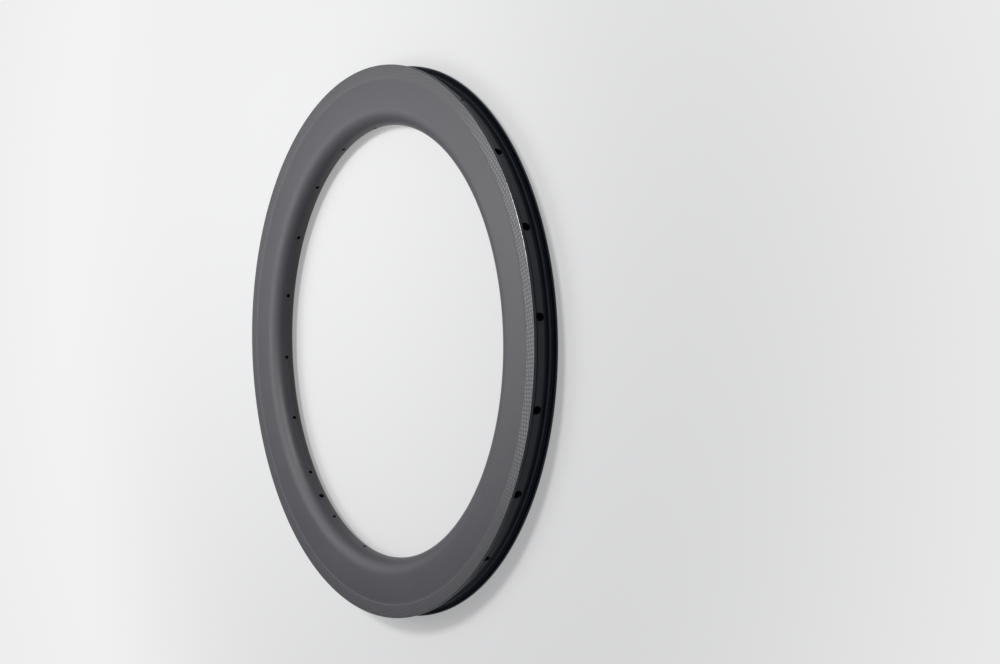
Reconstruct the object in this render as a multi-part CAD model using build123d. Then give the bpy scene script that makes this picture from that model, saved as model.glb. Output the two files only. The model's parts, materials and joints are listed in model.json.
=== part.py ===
"""Deep-section carbon clincher rim for a 622 mm bead seat, moulded as one hollow ring.

The wheel axis is +Z and the origin is the wheel's centre. The valve hole lies on +X, midway between two
spoke holes. All sizes are in millimetres.
"""

import os

from build123d import *

# Tyre side: everything is measured from the bead seat, which the tyre standard fixes
bead_seat_diameter = 622.0
flange_height = 5.5  # bead seat to flange tip
well_depth = 4.5  # bead seat down to the floor of the drop-centre well
flange_width = 29.9  # outside, over both flanges
lip_thickness = 2.9  # flange tip, over its bead hook
hook_height = 2.3  # flange tip to the underside of the hook
hook_reach = 0.6  # how far the hook stands in over the flange wall
well_floor_width = 11.0
well_side_run = 2.2  # sideways run of the slope from the well up to the bead seat

# Aero side: flange band, bulged side walls and elliptical nose
rim_depth = 67.7  # flange tip to spoke bed
band_height = 16.2  # flange tip to the crease where the side wall begins
crease_depth = 0.35  # how far the crease lies under the face of the band
crease_slope_run = 1.7  # width of the slope from the crease up to the face of the band
bulge = 0.8  # how far the widest line stands out past the flange band, each side
nose_length = 20.0  # widest line to spoke bed

# Laminate thickness
side_wall = 0.9
tyre_bed_wall = 1.3
spoke_bed_wall = 2.2

# Edge radii
lip_outer_radius = 1.1
lip_inner_radius = 0.9
seat_radius = 0.9
shelf_radius = 1.0  # where the bead seat turns down into the well
well_radius = 4.5  # between the well's slope and its floor

# Drilled holes
spoke_count = 20
spoke_hole = 4.5
access_hole = 9.0  # over each spoke hole, to pass the nipple from the tyre side
valve_hole = 6.5

# Radii and half widths that follow from the sizes above
seat_r = bead_seat_diameter / 2
tip_r = seat_r + flange_height
well_r = seat_r - well_depth
crease_r = tip_r - band_height
bed_r = tip_r - rim_depth
widest_r = bed_r + nose_length
band_z = flange_width / 2
crease_z = band_z - crease_depth
lip_z = band_z - lip_thickness
flange_z = lip_z + hook_reach
widest_z = band_z + bulge
well_z = well_floor_width / 2
shelf_z = well_z + well_side_run
hole_pitch = 360 / spoke_count  # degrees
drill_overrun = 5.0


def ring(nose, widest, tyre_side, radii):
    """A closed section, the same on both sides of z = 0, turned once round the wheel axis.

    The section is drawn in (radius, z). Its tyre_side lists the corners of one side from the crease to the
    tyre bed, and radii gives the rounding of each corner after the crease.
    """
    crease = tyre_side[0]
    other_side = [(r, -z) for r, z in reversed(tyre_side)]
    nose_arc = EllipticalCenterArc((widest_r, 0), nose, widest, start_angle=90, arc_size=180)
    wall = TangentArc((widest_r, widest), crease, tangent=(1, 0))
    other_wall = mirror(wall, about=Plane.XZ)
    tyre_line = FilletPolyline(*tyre_side, *other_side, radius=radii + radii[::-1])
    section = make_face(Curve() + [nose_arc, wall, other_wall, tyre_line])
    seam_between_holes = Rot(0, 0, hole_pitch / 4)
    return seam_between_holes * revolve(Plane.XZ * section, axis=Axis.Z)


def outer_skin():
    """Solid ring with the rim's outside: hooked flanges, bead seats, well, side walls and nose."""
    tyre_side = [
        (crease_r, crease_z),
        (crease_r + crease_slope_run, band_z),
        (tip_r, band_z),
        (tip_r, lip_z),
        (tip_r - hook_height, lip_z),
        (tip_r - hook_height - hook_reach, flange_z),
        (seat_r, flange_z),
        (seat_r, shelf_z),
        (well_r, well_z),
    ]
    radii = [0, lip_outer_radius, lip_inner_radius, 0, 0, seat_radius, shelf_radius, well_radius]
    return ring(nose_length, widest_z, tyre_side, radii)


def cavity():
    """The closed hollow inside the laminate, with plain corners."""
    under_seat_r = seat_r - tyre_bed_wall
    tyre_side = [
        (crease_r, crease_z - side_wall),
        (under_seat_r, band_z - side_wall),
        (under_seat_r, shelf_z + tyre_bed_wall),
        (well_r - tyre_bed_wall, well_z + tyre_bed_wall),
    ]
    return ring(nose_length - spoke_bed_wall, widest_z - side_wall, tyre_side, [0, 0, 0])


def radial_drill(diameter, start_r, end_r, angle):
    """A drill of the given diameter along the wheel radius at an angle, between two radii."""
    drill = Cylinder(diameter / 2, end_r - start_r, align=(Align.CENTER, Align.CENTER, Align.MIN))
    return Rot(0, 0, angle) * Pos(start_r, 0, 0) * Rot(0, 90, 0) * drill


def holes():
    """Spoke holes with their access holes, and the valve hole through both beds."""
    outside_r = tip_r + drill_overrun
    inside_r = bed_r - drill_overrun
    drills = [radial_drill(valve_hole, inside_r, outside_r, 0)]
    for index in range(spoke_count):
        angle = hole_pitch * (index + 0.5)
        drills.append(radial_drill(spoke_hole, inside_r, widest_r, angle))
        drills.append(radial_drill(access_hole, widest_r, outside_r, angle))
    return drills


rim = outer_skin() - cavity() - holes()
rim.label = "rim"

os.makedirs("parts", exist_ok=True)
export_step(rim, "parts/rim.step")
print("rim volume", round(rim.volume / 1000), "cm3", "box", rim.bounding_box().size)
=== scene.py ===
"""The looks of a deep-section carbon bicycle rim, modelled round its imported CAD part, in metres."""

import json
import math

import bmesh
import bpy
from mathutils import Matrix, Vector


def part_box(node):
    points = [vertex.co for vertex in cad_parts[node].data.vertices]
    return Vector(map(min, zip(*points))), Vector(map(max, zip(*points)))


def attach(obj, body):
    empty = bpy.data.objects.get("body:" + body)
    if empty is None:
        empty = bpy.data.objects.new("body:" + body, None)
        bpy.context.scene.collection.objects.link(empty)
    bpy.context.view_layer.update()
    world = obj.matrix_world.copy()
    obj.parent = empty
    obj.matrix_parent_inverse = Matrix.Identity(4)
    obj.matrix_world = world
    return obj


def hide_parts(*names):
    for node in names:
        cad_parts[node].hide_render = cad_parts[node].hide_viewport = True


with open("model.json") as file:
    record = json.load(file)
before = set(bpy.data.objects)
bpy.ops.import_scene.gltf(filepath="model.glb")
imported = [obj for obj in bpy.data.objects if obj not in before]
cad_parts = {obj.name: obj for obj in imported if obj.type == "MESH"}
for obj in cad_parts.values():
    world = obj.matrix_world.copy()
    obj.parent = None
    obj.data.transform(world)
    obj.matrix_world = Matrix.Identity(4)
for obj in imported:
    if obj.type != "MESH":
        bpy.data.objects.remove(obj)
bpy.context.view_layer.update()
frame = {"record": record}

# Hoop: one hollow ring of carbon laminate, laid up round a bladder in a closed mould and cured as one piece.
# Its section has hooked tyre flanges, a drop-centre tyre bed, bulged side walls and a rounded nose, which is
# the spoke bed. Half of the section is drawn in the XZ plane, turned round the wheel axis and mirrored.
mm = 0.001
flange_height = 5.5 * mm
well_depth = 4.5 * mm
band_height = 16.2 * mm
crease_depth = 0.35 * mm
crease_slope_run = 1.7 * mm
bulge = 0.8 * mm
nose_length = 20.0 * mm
lip_thickness = 2.9 * mm
hook_height = 2.3 * mm
hook_reach = 0.6 * mm
well_half = 5.5 * mm
well_side_run = 2.2 * mm
crease_round = 0.8 * mm
lip_outer_round = 1.1 * mm
lip_inner_round = 0.9 * mm
hook_round = 0.25 * mm
seat_round = 0.9 * mm
shelf_round = 0.6 * mm
well_round = 2.5 * mm
nose_steps = 18
wall_steps = 10
turn_steps = 360
weld_reach = 0.01 * mm

mounts = {mount["name"]: mount for mount in frame["record"]["mounts"]}
spoke_mounts = [mount for name, mount in mounts.items() if name.startswith("spoke_hole")]
valve_mount = mounts["valve_hole"]
rim_low, rim_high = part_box("rim")
spoke_bed_wall = spoke_mounts[0]["dims"]["length_mm"] * mm
spoke_bed_radius = Vector(spoke_mounts[0]["pos_m"]).length - spoke_bed_wall / 2
well_radius = Vector(valve_mount["pos_m"]).length + valve_mount["dims"]["length_mm"] * mm / 2
seat_radius = well_radius + well_depth
tip_radius = seat_radius + flange_height
hook_radius = tip_radius - hook_height
crease_radius = tip_radius - band_height
widest_radius = spoke_bed_radius + nose_length
widest_half = rim_high.z
band_half = widest_half - bulge
crease_half = band_half - crease_depth
lip_half = band_half - lip_thickness
flange_half = lip_half + hook_reach
shelf_half = well_half + well_side_run


def select_near(point):
    """In edit mode, selects only the vertices that lie at a point."""
    bpy.ops.mesh.select_mode(type="VERT")
    bpy.ops.mesh.select_all(action="DESELECT")
    mesh = bmesh.from_edit_mesh(bpy.context.object.data)
    for vertex in mesh.verts:
        vertex.select = (vertex.co - point).length < weld_reach
    mesh.select_flush_mode()
    bmesh.update_edit_mesh(bpy.context.object.data)


def draw_half_section(name, nose, half_width, corners):
    """A new object with half of a section: elliptical nose, arched side wall, then straight runs."""
    bpy.ops.object.select_all(action="DESELECT")
    bpy.ops.mesh.primitive_plane_add(location=(0, 0, 0))
    bpy.context.object.name = name
    bpy.ops.object.mode_set(mode="EDIT")
    bpy.ops.mesh.merge(type="CENTER")
    bpy.ops.transform.translate(value=(widest_radius - nose, 0, 0))

    nose_centre = Vector((widest_radius, 0, 0))
    bpy.ops.mesh.spin(steps=nose_steps, angle=math.pi / 2, center=nose_centre, axis=(0, -1, 0))
    bpy.ops.mesh.select_all(action="SELECT")
    bpy.ops.transform.resize(value=(1, 1, half_width / nose), center_override=nose_centre)

    widest = Vector((widest_radius, 0, half_width))
    run = corners[0].x - widest.x
    drop = widest.z - corners[0].z
    arch_radius = (run**2 + drop**2) / (2 * drop)
    arch_centre = widest - Vector((0, 0, arch_radius))
    arch = math.asin(run / arch_radius)
    select_near(widest)
    bpy.ops.mesh.spin(steps=wall_steps, angle=arch, center=arch_centre, axis=(0, -1, 0))
    for start, end in zip(corners, corners[1:]):
        bpy.ops.mesh.extrude_vertices_move(TRANSFORM_OT_translate={"value": end - start})
    return bpy.context.object


def turn_and_mirror(steps):
    """Turns the drawn half section round the wheel axis, then mirrors it into a closed ring."""
    bpy.ops.mesh.select_all(action="SELECT")
    bpy.ops.mesh.spin(steps=steps, angle=math.tau, center=(0, 0, 0), axis=(0, 0, 1))
    bpy.ops.object.mode_set(mode="OBJECT")
    other_half = bpy.context.object.modifiers.new("other half", "MIRROR")
    other_half.use_axis = (False, False, True)
    bpy.ops.object.modifier_apply(modifier=other_half.name)
    bpy.ops.object.mode_set(mode="EDIT")
    bpy.ops.mesh.select_all(action="SELECT")
    bpy.ops.mesh.remove_doubles(threshold=weld_reach)
    bpy.ops.mesh.normals_make_consistent(inside=False)
    bpy.ops.object.mode_set(mode="OBJECT")


crease = Vector((crease_radius, 0, crease_half))
band_foot = Vector((crease_radius + crease_slope_run, 0, band_half))
lip_outer = Vector((tip_radius, 0, band_half))
lip_inner = Vector((tip_radius, 0, lip_half))
hook_under = Vector((hook_radius, 0, lip_half))
hook_root = Vector((hook_radius - hook_reach, 0, flange_half))
seat_corner = Vector((seat_radius, 0, flange_half))
shelf_edge = Vector((seat_radius, 0, shelf_half))
well_corner = Vector((well_radius, 0, well_half))
well_middle = Vector((well_radius, 0, 0))
corners = [crease, band_foot, lip_outer, lip_inner, hook_under, hook_root]
corners += [seat_corner, shelf_edge, well_corner, well_middle]
hoop = draw_half_section("rim_hoop", nose_length, widest_half, corners)

# Each corner of the outline is rounded: the length that the curve takes off both sides, and its steps.
roundings = [
    (crease, crease_round, 4),
    (band_foot, crease_round, 4),
    (lip_outer, lip_outer_round, 6),
    (lip_inner, lip_inner_round, 5),
    (hook_under, hook_round, 3),
    (hook_root, hook_round, 3),
    (seat_corner, seat_round, 5),
    (shelf_edge, shelf_round, 4),
    (well_corner, well_round, 6),
]
for point, cut_back, steps in roundings:
    select_near(point)
    bpy.ops.mesh.bevel(offset=cut_back, offset_type="OFFSET", segments=steps, affect="VERTICES")
turn_and_mirror(turn_steps)


def linear(hex_colour):
    """An sRGB hex colour as the linear colour that a shader takes."""
    shares = [int(hex_colour[place : place + 2], 16) / 255 for place in (1, 3, 5)]
    return [s / 12.92 if s <= 0.04045 else ((s + 0.055) / 1.055) ** 2.4 for s in shares] + [1.0]


def start_material(name):
    """A new material with an empty node tree."""
    material = bpy.data.materials.new(name)
    material.use_nodes = True
    material.node_tree.nodes.clear()
    return material, material.node_tree


def add_node(tree, kind, inputs=None, **settings):
    """Adds a node; each input takes a value, a socket, or a node, which stands for its first output."""
    node = tree.nodes.new("ShaderNode" + kind)
    for name, value in settings.items():
        setattr(node, name, value)
    for name, value in (inputs or {}).items():
        if isinstance(value, bpy.types.Node):
            value = value.outputs[0]
        if isinstance(value, bpy.types.NodeSocket):
            tree.links.new(value, node.inputs[name])
        else:
            node.inputs[name].default_value = value
    return node


# Satin laminate on the side walls and nose: carbon under a rubbed clear coat, which gives an even, cool
# grey. Long faint streaks follow the fibres round the ring, wide clouds vary the grey, and a fine grain
# softens the gloss.
streak_length = 70.0 * mm
streak_width = 1.6 * mm
cloud_size = 45.0 * mm
grain_size = 0.7 * mm
grain_relief = 0.006 * mm
satin_roughness_low = 0.43
satin_roughness_high = 0.53
resin_ior = 1.5
satin_carbon, tree = start_material("satin_carbon_laminate")
spot = add_node(tree, "TexCoord").outputs["Object"]
across = add_node(tree, "VectorMath", {0: spot, 1: (1, 1, 0)}, operation="MULTIPLY")
radius = add_node(tree, "VectorMath", {0: across}, operation="LENGTH").outputs["Value"]
around = add_node(tree, "VectorMath", {0: across}, operation="NORMALIZE")
height = add_node(tree, "SeparateXYZ", {0: spot}).outputs["Z"]
height_in_streaks = add_node(tree, "Math", {0: height, 1: 1 / streak_width}, operation="MULTIPLY")
radius_in_streaks = add_node(tree, "Math", {0: radius, 1: 1 / streak_width}, operation="MULTIPLY")
along = add_node(tree, "VectorMath", {0: around, "Scale": crease_radius / streak_length}, operation="SCALE")
lift = add_node(tree, "CombineXYZ", {"Z": height_in_streaks})
fibre_spot = add_node(tree, "VectorMath", {0: along, 1: lift}, operation="ADD")
streaks = add_node(tree, "TexNoise", {
    "Vector": fibre_spot, "W": radius_in_streaks, "Scale": 1.0, "Detail": 2.0}, noise_dimensions="4D")
clouds = add_node(tree, "TexNoise", {"Vector": spot, "Scale": 1 / cloud_size, "Detail": 2.0})
shade = add_node(tree, "Math", {0: streaks, 1: clouds}, operation="ADD")
shade = add_node(tree, "Math", {0: shade, 1: 1 / 2}, operation="MULTIPLY")
grey = add_node(tree, "Mix", {"Factor": shade, 6: linear("#4c4b50"), 7: linear("#5a595e")}, data_type="RGBA")
gloss = add_node(tree, "MapRange", {
    "Value": clouds, "To Min": satin_roughness_low, "To Max": satin_roughness_high})
grain = add_node(tree, "TexNoise", {"Vector": spot, "Scale": 1 / grain_size, "Detail": 1.0})
bump = add_node(tree, "Bump", {"Height": grain, "Distance": grain_relief})
shader = add_node(tree, "BsdfPrincipled", {
    "Base Color": grey.outputs[2], "Roughness": gloss, "Normal": bump, "IOR": resin_ior})
add_node(tree, "OutputMaterial", {"Surface": shader})

# Woven carbon on the flange bands: a strip of plain weave, laid on the bias round the ring under the same
# coat. Tows cross in small squares, each a low pillow; their two greys are painted sheen. The weave's
# contrast is painted full on one side of the ring, where the light catches the tows, and faint all round the
# rest.
tow_width = 3.05 * mm
weave_turn = math.radians(-10)
tow_relief = 0.1 * mm
wander_size = 14.0 * mm
wander_reach = 0.5 * mm
weave_lit_side = math.radians(140)
weave_lit_within = math.radians(28)
weave_faint_from = math.radians(46)
weave_faint_share = 0.15  # share of the weave's painted contrast that is kept where the light does not catch the tows
tow_top_height = 0.28  # share of a pillow's height from which the tow has its painted sheen grey
noise_middle = (0.5, 0.5, 0.5)
woven_roughness = 0.46
cloth_radius = (crease_radius + tip_radius) / 2
woven_carbon, tree = start_material("woven_carbon_band")
spot = add_node(tree, "TexCoord").outputs["Object"]
noise = add_node(tree, "TexNoise", {"Vector": spot, "Scale": 1 / wander_size, "Detail": 0.0})
wander = add_node(tree, "VectorMath", {0: noise.outputs["Color"], 1: noise_middle}, operation="SUBTRACT")
wander = add_node(tree, "VectorMath", {0: wander, "Scale": wander_reach}, operation="SCALE")
cloth_spot = add_node(tree, "VectorMath", {0: spot, 1: wander}, operation="ADD")
across = add_node(tree, "VectorMath", {0: cloth_spot, 1: (1, 1, 0)}, operation="MULTIPLY")
radius = add_node(tree, "VectorMath", {0: across}, operation="LENGTH").outputs["Value"]
axes = add_node(tree, "SeparateXYZ", {0: cloth_spot})
angle = add_node(tree, "Math", {0: axes.outputs["Y"], 1: axes.outputs["X"]}, operation="ARCTAN2")
tow_counts = []
crowns = []
for bias in (math.radians(45) + weave_turn, math.radians(-45) + weave_turn):
    tows_round_ring = 2 * round(math.pi * cloth_radius * math.cos(bias) / tow_width)
    outward = add_node(tree, "Math", {0: radius, 1: math.sin(bias) / tow_width}, operation="MULTIPLY")
    tows_a_radian = tows_round_ring / math.tau
    count = add_node(tree, "Math", {0: angle, 1: tows_a_radian, 2: outward}, operation="MULTIPLY_ADD")
    turn = add_node(tree, "Math", {0: count, 1: math.pi}, operation="MULTIPLY")
    wave = add_node(tree, "Math", {0: turn}, operation="SINE")
    tow_counts.append(count)
    crowns.append(add_node(tree, "Math", {0: wave}, operation="ABSOLUTE"))
cell = add_node(tree, "CombineXYZ", {"X": tow_counts[0], "Y": tow_counts[1]})
warp_on_top = add_node(tree, "TexChecker", {
    "Vector": cell, "Scale": 1.0, "Color1": (1, 1, 1, 1), "Color2": (0, 0, 0, 1)}).outputs["Fac"]
pillow = add_node(tree, "Math", {0: crowns[0], 1: crowns[1]}, operation="MULTIPLY")
ridge = add_node(tree, "Mix", {"Factor": warp_on_top, 2: crowns[0].outputs[0], 3: crowns[1].outputs[0]})
relief = add_node(tree, "Math", {0: pillow, 1: ridge.outputs[0]}, operation="ADD")
# Painted sheen and shade: the weave's contrast and relief are full on the side where the light catches the
# tows, and faint round the rest.
weave_lit_direction = (math.cos(weave_lit_side), math.sin(weave_lit_side), 0)
outwards = add_node(tree, "VectorMath", {0: across}, operation="NORMALIZE")
towards_lit_weave = add_node(tree, "VectorMath", {0: outwards, 1: weave_lit_direction}, operation="DOT_PRODUCT")
weave_sheen_share = add_node(tree, "MapRange", {
    "Value": towards_lit_weave.outputs["Value"], "From Min": math.cos(weave_faint_from),
    "From Max": math.cos(weave_lit_within), "To Min": weave_faint_share, "To Max": 1.0})
# The two tow greys are painted sheen: tows lying across and along the light reflect it differently.
tow_sheen_grey = add_node(tree, "Mix", {
    "Factor": warp_on_top, 6: linear("#5b5b5e"), 7: linear("#808083")}, data_type="RGBA")
tow_top = add_node(tree, "MapRange", {"Value": pillow, "From Max": tow_top_height})
cloth_sheen_grey = add_node(tree, "Mix", {
    "Factor": tow_top, 6: linear("#4a4a4d"), 7: tow_sheen_grey.outputs[2]}, data_type="RGBA")
grey = add_node(tree, "Mix", {
    "Factor": weave_sheen_share, 6: linear("#505054"), 7: cloth_sheen_grey.outputs[2]}, data_type="RGBA")
bump = add_node(tree, "Bump", {"Height": relief, "Distance": tow_relief / 2, "Strength": weave_sheen_share})
shader = add_node(tree, "BsdfPrincipled", {
    "Base Color": grey.outputs[2], "Roughness": woven_roughness, "Normal": bump, "IOR": resin_ior})
add_node(tree, "OutputMaterial", {"Surface": shader})

# Bare carbon in the tyre bed, as it leaves the mould: a bluish black with a low sheen. The resin lies a
# little uneven on it, so the sheen breaks up into soft patches.
patch_size = 9.0 * mm
resin_size = 2.2 * mm
resin_relief = 0.02 * mm
bare_roughness_low = 0.26
bare_roughness_high = 0.42
bare_carbon, tree = start_material("bare_carbon_tyre_bed")
spot = add_node(tree, "TexCoord").outputs["Object"]
patches = add_node(tree, "TexNoise", {"Vector": spot, "Scale": 1 / patch_size, "Detail": 3.0})
black = add_node(tree, "Mix", {
    "Factor": patches, 6: linear("#101b27"), 7: linear("#1c2b3a")}, data_type="RGBA")
gloss = add_node(tree, "MapRange", {
    "Value": patches, "To Min": bare_roughness_low, "To Max": bare_roughness_high})
resin = add_node(tree, "TexNoise", {"Vector": spot, "Scale": 1 / resin_size, "Detail": 2.0})
bump = add_node(tree, "Bump", {"Height": resin, "Distance": resin_relief})
shader = add_node(tree, "BsdfPrincipled", {
    "Base Color": black.outputs[2], "Roughness": gloss, "Normal": bump, "IOR": resin_ior})
add_node(tree, "OutputMaterial", {"Surface": shader})

# Buffed edge on the outer corner of each flange, where the flash of the mould is trimmed off: smoother than
# the coat beside it, so that it catches the light as one thin line. It mirrors more than resin does, because
# so thin a line would otherwise be lost in the picture.
buffed_depth = lip_outer_round / 3
buffed_roughness = 0.2
buffed_coat_roughness = 0.18
buffed_coat_ior = 1.9
buffed_carbon, tree = start_material("buffed_carbon_lip")
# Its grey is painted darker than the band beside it: painted shade, which sets off the thin highlight.
shader = add_node(tree, "BsdfPrincipled", {
    "Base Color": linear("#38383b"), "Roughness": buffed_roughness, "IOR": resin_ior,
    "Coat Weight": 1.0, "Coat Roughness": buffed_coat_roughness, "Coat IOR": buffed_coat_ior})
add_node(tree, "OutputMaterial", {"Surface": shader})

# Each face takes the finish of the zone it lies in: the channel between the flanges, the corner of a flange,
# the flange band, or else the side wall and nose.
finishes = [satin_carbon, woven_carbon, bare_carbon, buffed_carbon]
lip_top_half = band_half - buffed_depth
facet_reach = 0.1 * mm
for finish in finishes:
    hoop.data.materials.append(finish)
for face in hoop.data.polygons:
    radius = Vector((face.center.x, face.center.y)).length
    side = abs(face.center.z)
    if radius > well_radius - facet_reach and side < lip_top_half:
        face.material_index = finishes.index(bare_carbon)
    elif radius > tip_radius - lip_outer_round and side > lip_top_half:
        face.material_index = finishes.index(buffed_carbon)
    elif radius > crease_radius + crease_slope_run and side > crease_half:
        face.material_index = finishes.index(woven_carbon)

# Hollow: the bladder leaves a closed space inside the laminate, with walls of about a millimetre. It is cut
# out of the solid ring, so that the drilled holes open into it.
side_wall = 0.9 * mm
tyre_bed_wall = 1.3 * mm
hollow_steps = 180
inner_crease = Vector((crease_radius, 0, crease_half - side_wall))
under_flange = Vector((seat_radius - tyre_bed_wall, 0, band_half - side_wall))
under_shelf = Vector((seat_radius - tyre_bed_wall, 0, shelf_half + tyre_bed_wall))
under_well = Vector((well_radius - tyre_bed_wall, 0, well_half + tyre_bed_wall))
under_middle = Vector((well_radius - tyre_bed_wall, 0, 0))
inner_corners = [inner_crease, under_flange, under_shelf, under_well, under_middle]
hollow = draw_half_section("hollow", nose_length - spoke_bed_wall, widest_half - side_wall, inner_corners)
turn_and_mirror(hollow_steps)
hollow.data.materials.append(bare_carbon)

# Drillings: each spoke hole and the wider access hole over it are drilled along one wheel radius, and the
# valve hole goes through both beds midway between two spoke holes.
spoke_hole_radius = spoke_mounts[0]["dims"]["r_mm"] * mm
access_hole_radius = 4.5 * mm
valve_hole_radius = valve_mount["dims"]["r_mm"] * mm
drill_sides = 40
drill_overrun = 5.0 * mm


def radial_drill(near_radius, far_radius, direction):
    """A stepped drill along a wheel radius: one size through the spoke bed, another past the widest line."""
    start = spoke_bed_radius - drill_overrun
    length = widest_radius - start
    bpy.ops.object.select_all(action="DESELECT")
    bpy.ops.mesh.primitive_cylinder_add(vertices=drill_sides, radius=near_radius, depth=length)
    bpy.ops.object.mode_set(mode="EDIT")
    bpy.ops.transform.translate(value=(0, 0, start + length / 2))
    bpy.ops.mesh.select_mode(type="FACE")
    mesh = bmesh.from_edit_mesh(bpy.context.object.data)
    for face in mesh.faces:
        face.select = round(face.normal.z) == 1
    bmesh.update_edit_mesh(bpy.context.object.data)
    widen = far_radius / near_radius
    bpy.ops.mesh.extrude_region_move()
    bpy.ops.transform.resize(value=(widen, widen, 1), center_override=(0, 0, widest_radius))
    beyond = tip_radius + drill_overrun - widest_radius
    bpy.ops.mesh.extrude_region_move(TRANSFORM_OT_translate={"value": (0, 0, beyond)})
    bpy.ops.object.mode_set(mode="OBJECT")
    drill = bpy.context.object
    drill.data.transform(Vector(direction).to_track_quat("Z", "Y").to_matrix().to_4x4())
    return drill


drills = [radial_drill(valve_hole_radius, valve_hole_radius, valve_mount["axis"])]
for mount in spoke_mounts:
    drills.append(radial_drill(spoke_hole_radius, access_hole_radius, mount["axis"]))
for drill in drills:
    drill.select_set(True)
bpy.ops.object.join()
drill_set = bpy.context.object
bpy.ops.object.mode_set(mode="EDIT")
bpy.ops.mesh.select_all(action="SELECT")
bpy.ops.mesh.remove_doubles(threshold=weld_reach)
bpy.ops.mesh.normals_make_consistent(inside=False)
bpy.ops.object.mode_set(mode="OBJECT")

# Cut laminate on the walls of the holes: dull and dry, with the plies showing as thin lines, lighter and
# darker in turn.
ply_thickness = 0.28 * mm
cut_roughness = 0.75
cut_carbon, tree = start_material("cut_carbon_edge")
spot = add_node(tree, "TexCoord").outputs["Object"]
across = add_node(tree, "VectorMath", {0: spot, 1: (1, 1, 0)}, operation="MULTIPLY")
radius = add_node(tree, "VectorMath", {0: across}, operation="LENGTH").outputs["Value"]
ply = add_node(tree, "Math", {0: radius, 1: ply_thickness}, operation="PINGPONG")
ply = add_node(tree, "Math", {0: ply, 1: 1 / ply_thickness}, operation="MULTIPLY")
grey = add_node(tree, "Mix", {"Factor": ply, 6: linear("#1b1c1e"), 7: linear("#303134")}, data_type="RGBA")
shader = add_node(tree, "BsdfPrincipled", {
    "Base Color": grey.outputs[2], "Roughness": cut_roughness, "IOR": resin_ior})
add_node(tree, "OutputMaterial", {"Surface": shader})
drill_set.data.materials.append(cut_carbon)

bpy.context.view_layer.objects.active = hoop
for cutter in (hollow, drill_set):
    cut = hoop.modifiers.new("cut", "BOOLEAN")
    cut.object = cutter
    cut.operation = "DIFFERENCE"
    cut.solver = "EXACT"
    cut.material_mode = "TRANSFER"
    bpy.ops.object.modifier_apply(modifier=cut.name)
    bpy.data.objects.remove(cutter)

# The drills leave sharp edges, which are broken with fine abrasive. Vertices that the cuts leave very close
# together are merged first, so that the broken edges stay clean.
hole_edge_break = 0.3 * mm
hole_edge_steps = 2
hole_weld_reach = 0.05 * mm
hole_edge_angle = math.radians(40)
smooth_angle = math.radians(35)
bpy.ops.object.mode_set(mode="EDIT")
bpy.ops.mesh.select_all(action="SELECT")
bpy.ops.mesh.remove_doubles(threshold=hole_weld_reach)
bpy.ops.mesh.normals_make_consistent(inside=False)
bpy.ops.mesh.select_mode(type="EDGE")
bpy.ops.mesh.select_all(action="DESELECT")
bpy.ops.mesh.edges_select_sharp(sharpness=hole_edge_angle)
bpy.ops.mesh.bevel(offset=hole_edge_break, segments=hole_edge_steps, affect="EDGES")
bpy.ops.object.mode_set(mode="OBJECT")
bpy.ops.object.select_all(action="DESELECT")
hoop.select_set(True)
bpy.ops.object.shade_smooth_by_angle(angle=smooth_angle)
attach(hoop, "root")
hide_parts("rim")

# Floor: a plain pale sheet that the rim lies on. The camera and reflections see it pale, in part by its own
# glow: about a third of it under the rim, where the shadow shows, and most of it far off, as in a white
# studio. It throws only a little light back on the dark underside.
floor_size = 14.0
near_glow = 0.35
far_glow = 0.85
near_reach = 0.35
far_reach = 1.1
bpy.ops.object.select_all(action="DESELECT")
bpy.ops.mesh.primitive_plane_add(size=floor_size, location=(0, 0, rim_low.z))
floor = bpy.context.object
floor.name = "floor"
pale_floor, tree = start_material("pale_studio_floor")
path = add_node(tree, "LightPath")
seen = add_node(tree, "Math", {
    0: path.outputs["Is Camera Ray"], 1: path.outputs["Is Glossy Ray"]}, operation="MAXIMUM")
seen = add_node(tree, "Math", {0: seen, 1: path.outputs["Is Transmission Ray"]}, operation="MAXIMUM")
bounce = add_node(tree, "BsdfDiffuse", {"Color": linear("#505050")})
lit = add_node(tree, "BsdfDiffuse", {"Color": linear("#f0f0f0")})
glow = add_node(tree, "Emission", {"Color": linear("#f8f8f8"), "Strength": 1.0})
spot = add_node(tree, "TexCoord").outputs["Object"]
distance = add_node(tree, "VectorMath", {0: spot}, operation="LENGTH").outputs["Value"]
glow_share = add_node(tree, "MapRange", {
    "Value": distance, "From Min": near_reach, "From Max": far_reach,
    "To Min": near_glow, "To Max": far_glow}, interpolation_type="SMOOTHSTEP")
pale = add_node(tree, "MixShader", {0: glow_share, 1: lit, 2: glow})
both = add_node(tree, "MixShader", {0: seen, 1: bounce, 2: pale})
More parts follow.
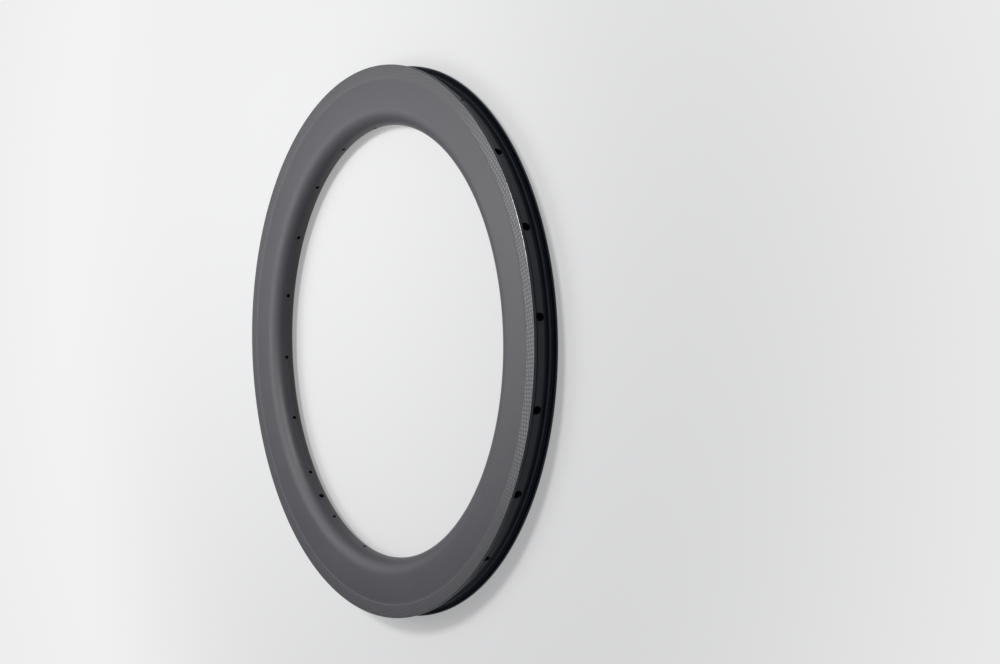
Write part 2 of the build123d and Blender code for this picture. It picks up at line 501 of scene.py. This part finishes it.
add_node(tree, "OutputMaterial", {"Surface": both})
floor.data.materials.append(pale_floor)

# Studio light: a small soft box high up draws the thin line on the flange and the ridge on the nose, two
# broad ones behind the rim light the side wall evenly, and a little cool light comes from all round.
world_strength = 0.2
world = bpy.data.worlds.new("studio")
bpy.context.scene.world = world
world.use_nodes = True
sky = world.node_tree.nodes["Background"]
sky.inputs["Color"].default_value = linear("#f4f7ff")
sky.inputs["Strength"].default_value = world_strength


def add_lamp(name, azimuth, elevation, reach, size, power):
    """A soft square lamp in a direction from the wheel's centre, in degrees, turned to face that centre."""
    bpy.ops.object.select_all(action="DESELECT")
    bpy.ops.object.light_add(type="AREA")
    lamp = bpy.context.object
    lamp.name = name
    lamp.data.size = size
    lamp.data.energy = power
    level = math.cos(math.radians(elevation))
    turn = math.radians(azimuth)
    rise = math.sin(math.radians(elevation))
    towards = Vector((level * math.cos(turn), level * math.sin(turn), rise))
    lamp.location = towards * reach
    lamp.rotation_euler = towards.to_track_quat("Z", "Y").to_euler()


add_lamp("key_lamp", azimuth=228, elevation=68, reach=1.2, size=0.26, power=7.1)
add_lamp("back_lamp", azimuth=295, elevation=42, reach=1.5, size=0.8, power=3.5)
add_lamp("side_lamp", azimuth=310, elevation=55, reach=1.5, size=0.8, power=4.2)

# Camera: it looks down on the rim from the side that the photograph was taken from. It is rolled, so that
# the rim, which lies flat here, stands in the picture as it does there.
lens = 66.69
sensor_width = 36.0
camera_place = Vector((-1.20635, 1.39532, 1.09495))
aim = Vector((-0.15807, 0.17101, 0.0))
image_up = Vector((-0.76478, -0.64418, -0.01191))
bpy.ops.object.camera_add(location=camera_place)
camera = bpy.context.object
camera.data.lens = lens
camera.data.sensor_width = sensor_width
camera.data.sensor_fit = "HORIZONTAL"
back = (camera_place - aim).normalized()
right = image_up.cross(back).normalized()
up = back.cross(right)
camera.matrix_world = Matrix.Translation(camera_place) @ Matrix((right, up, back)).transposed().to_4x4()
bpy.context.scene.camera = camera
bpy.context.scene.view_settings.view_transform = "Standard"
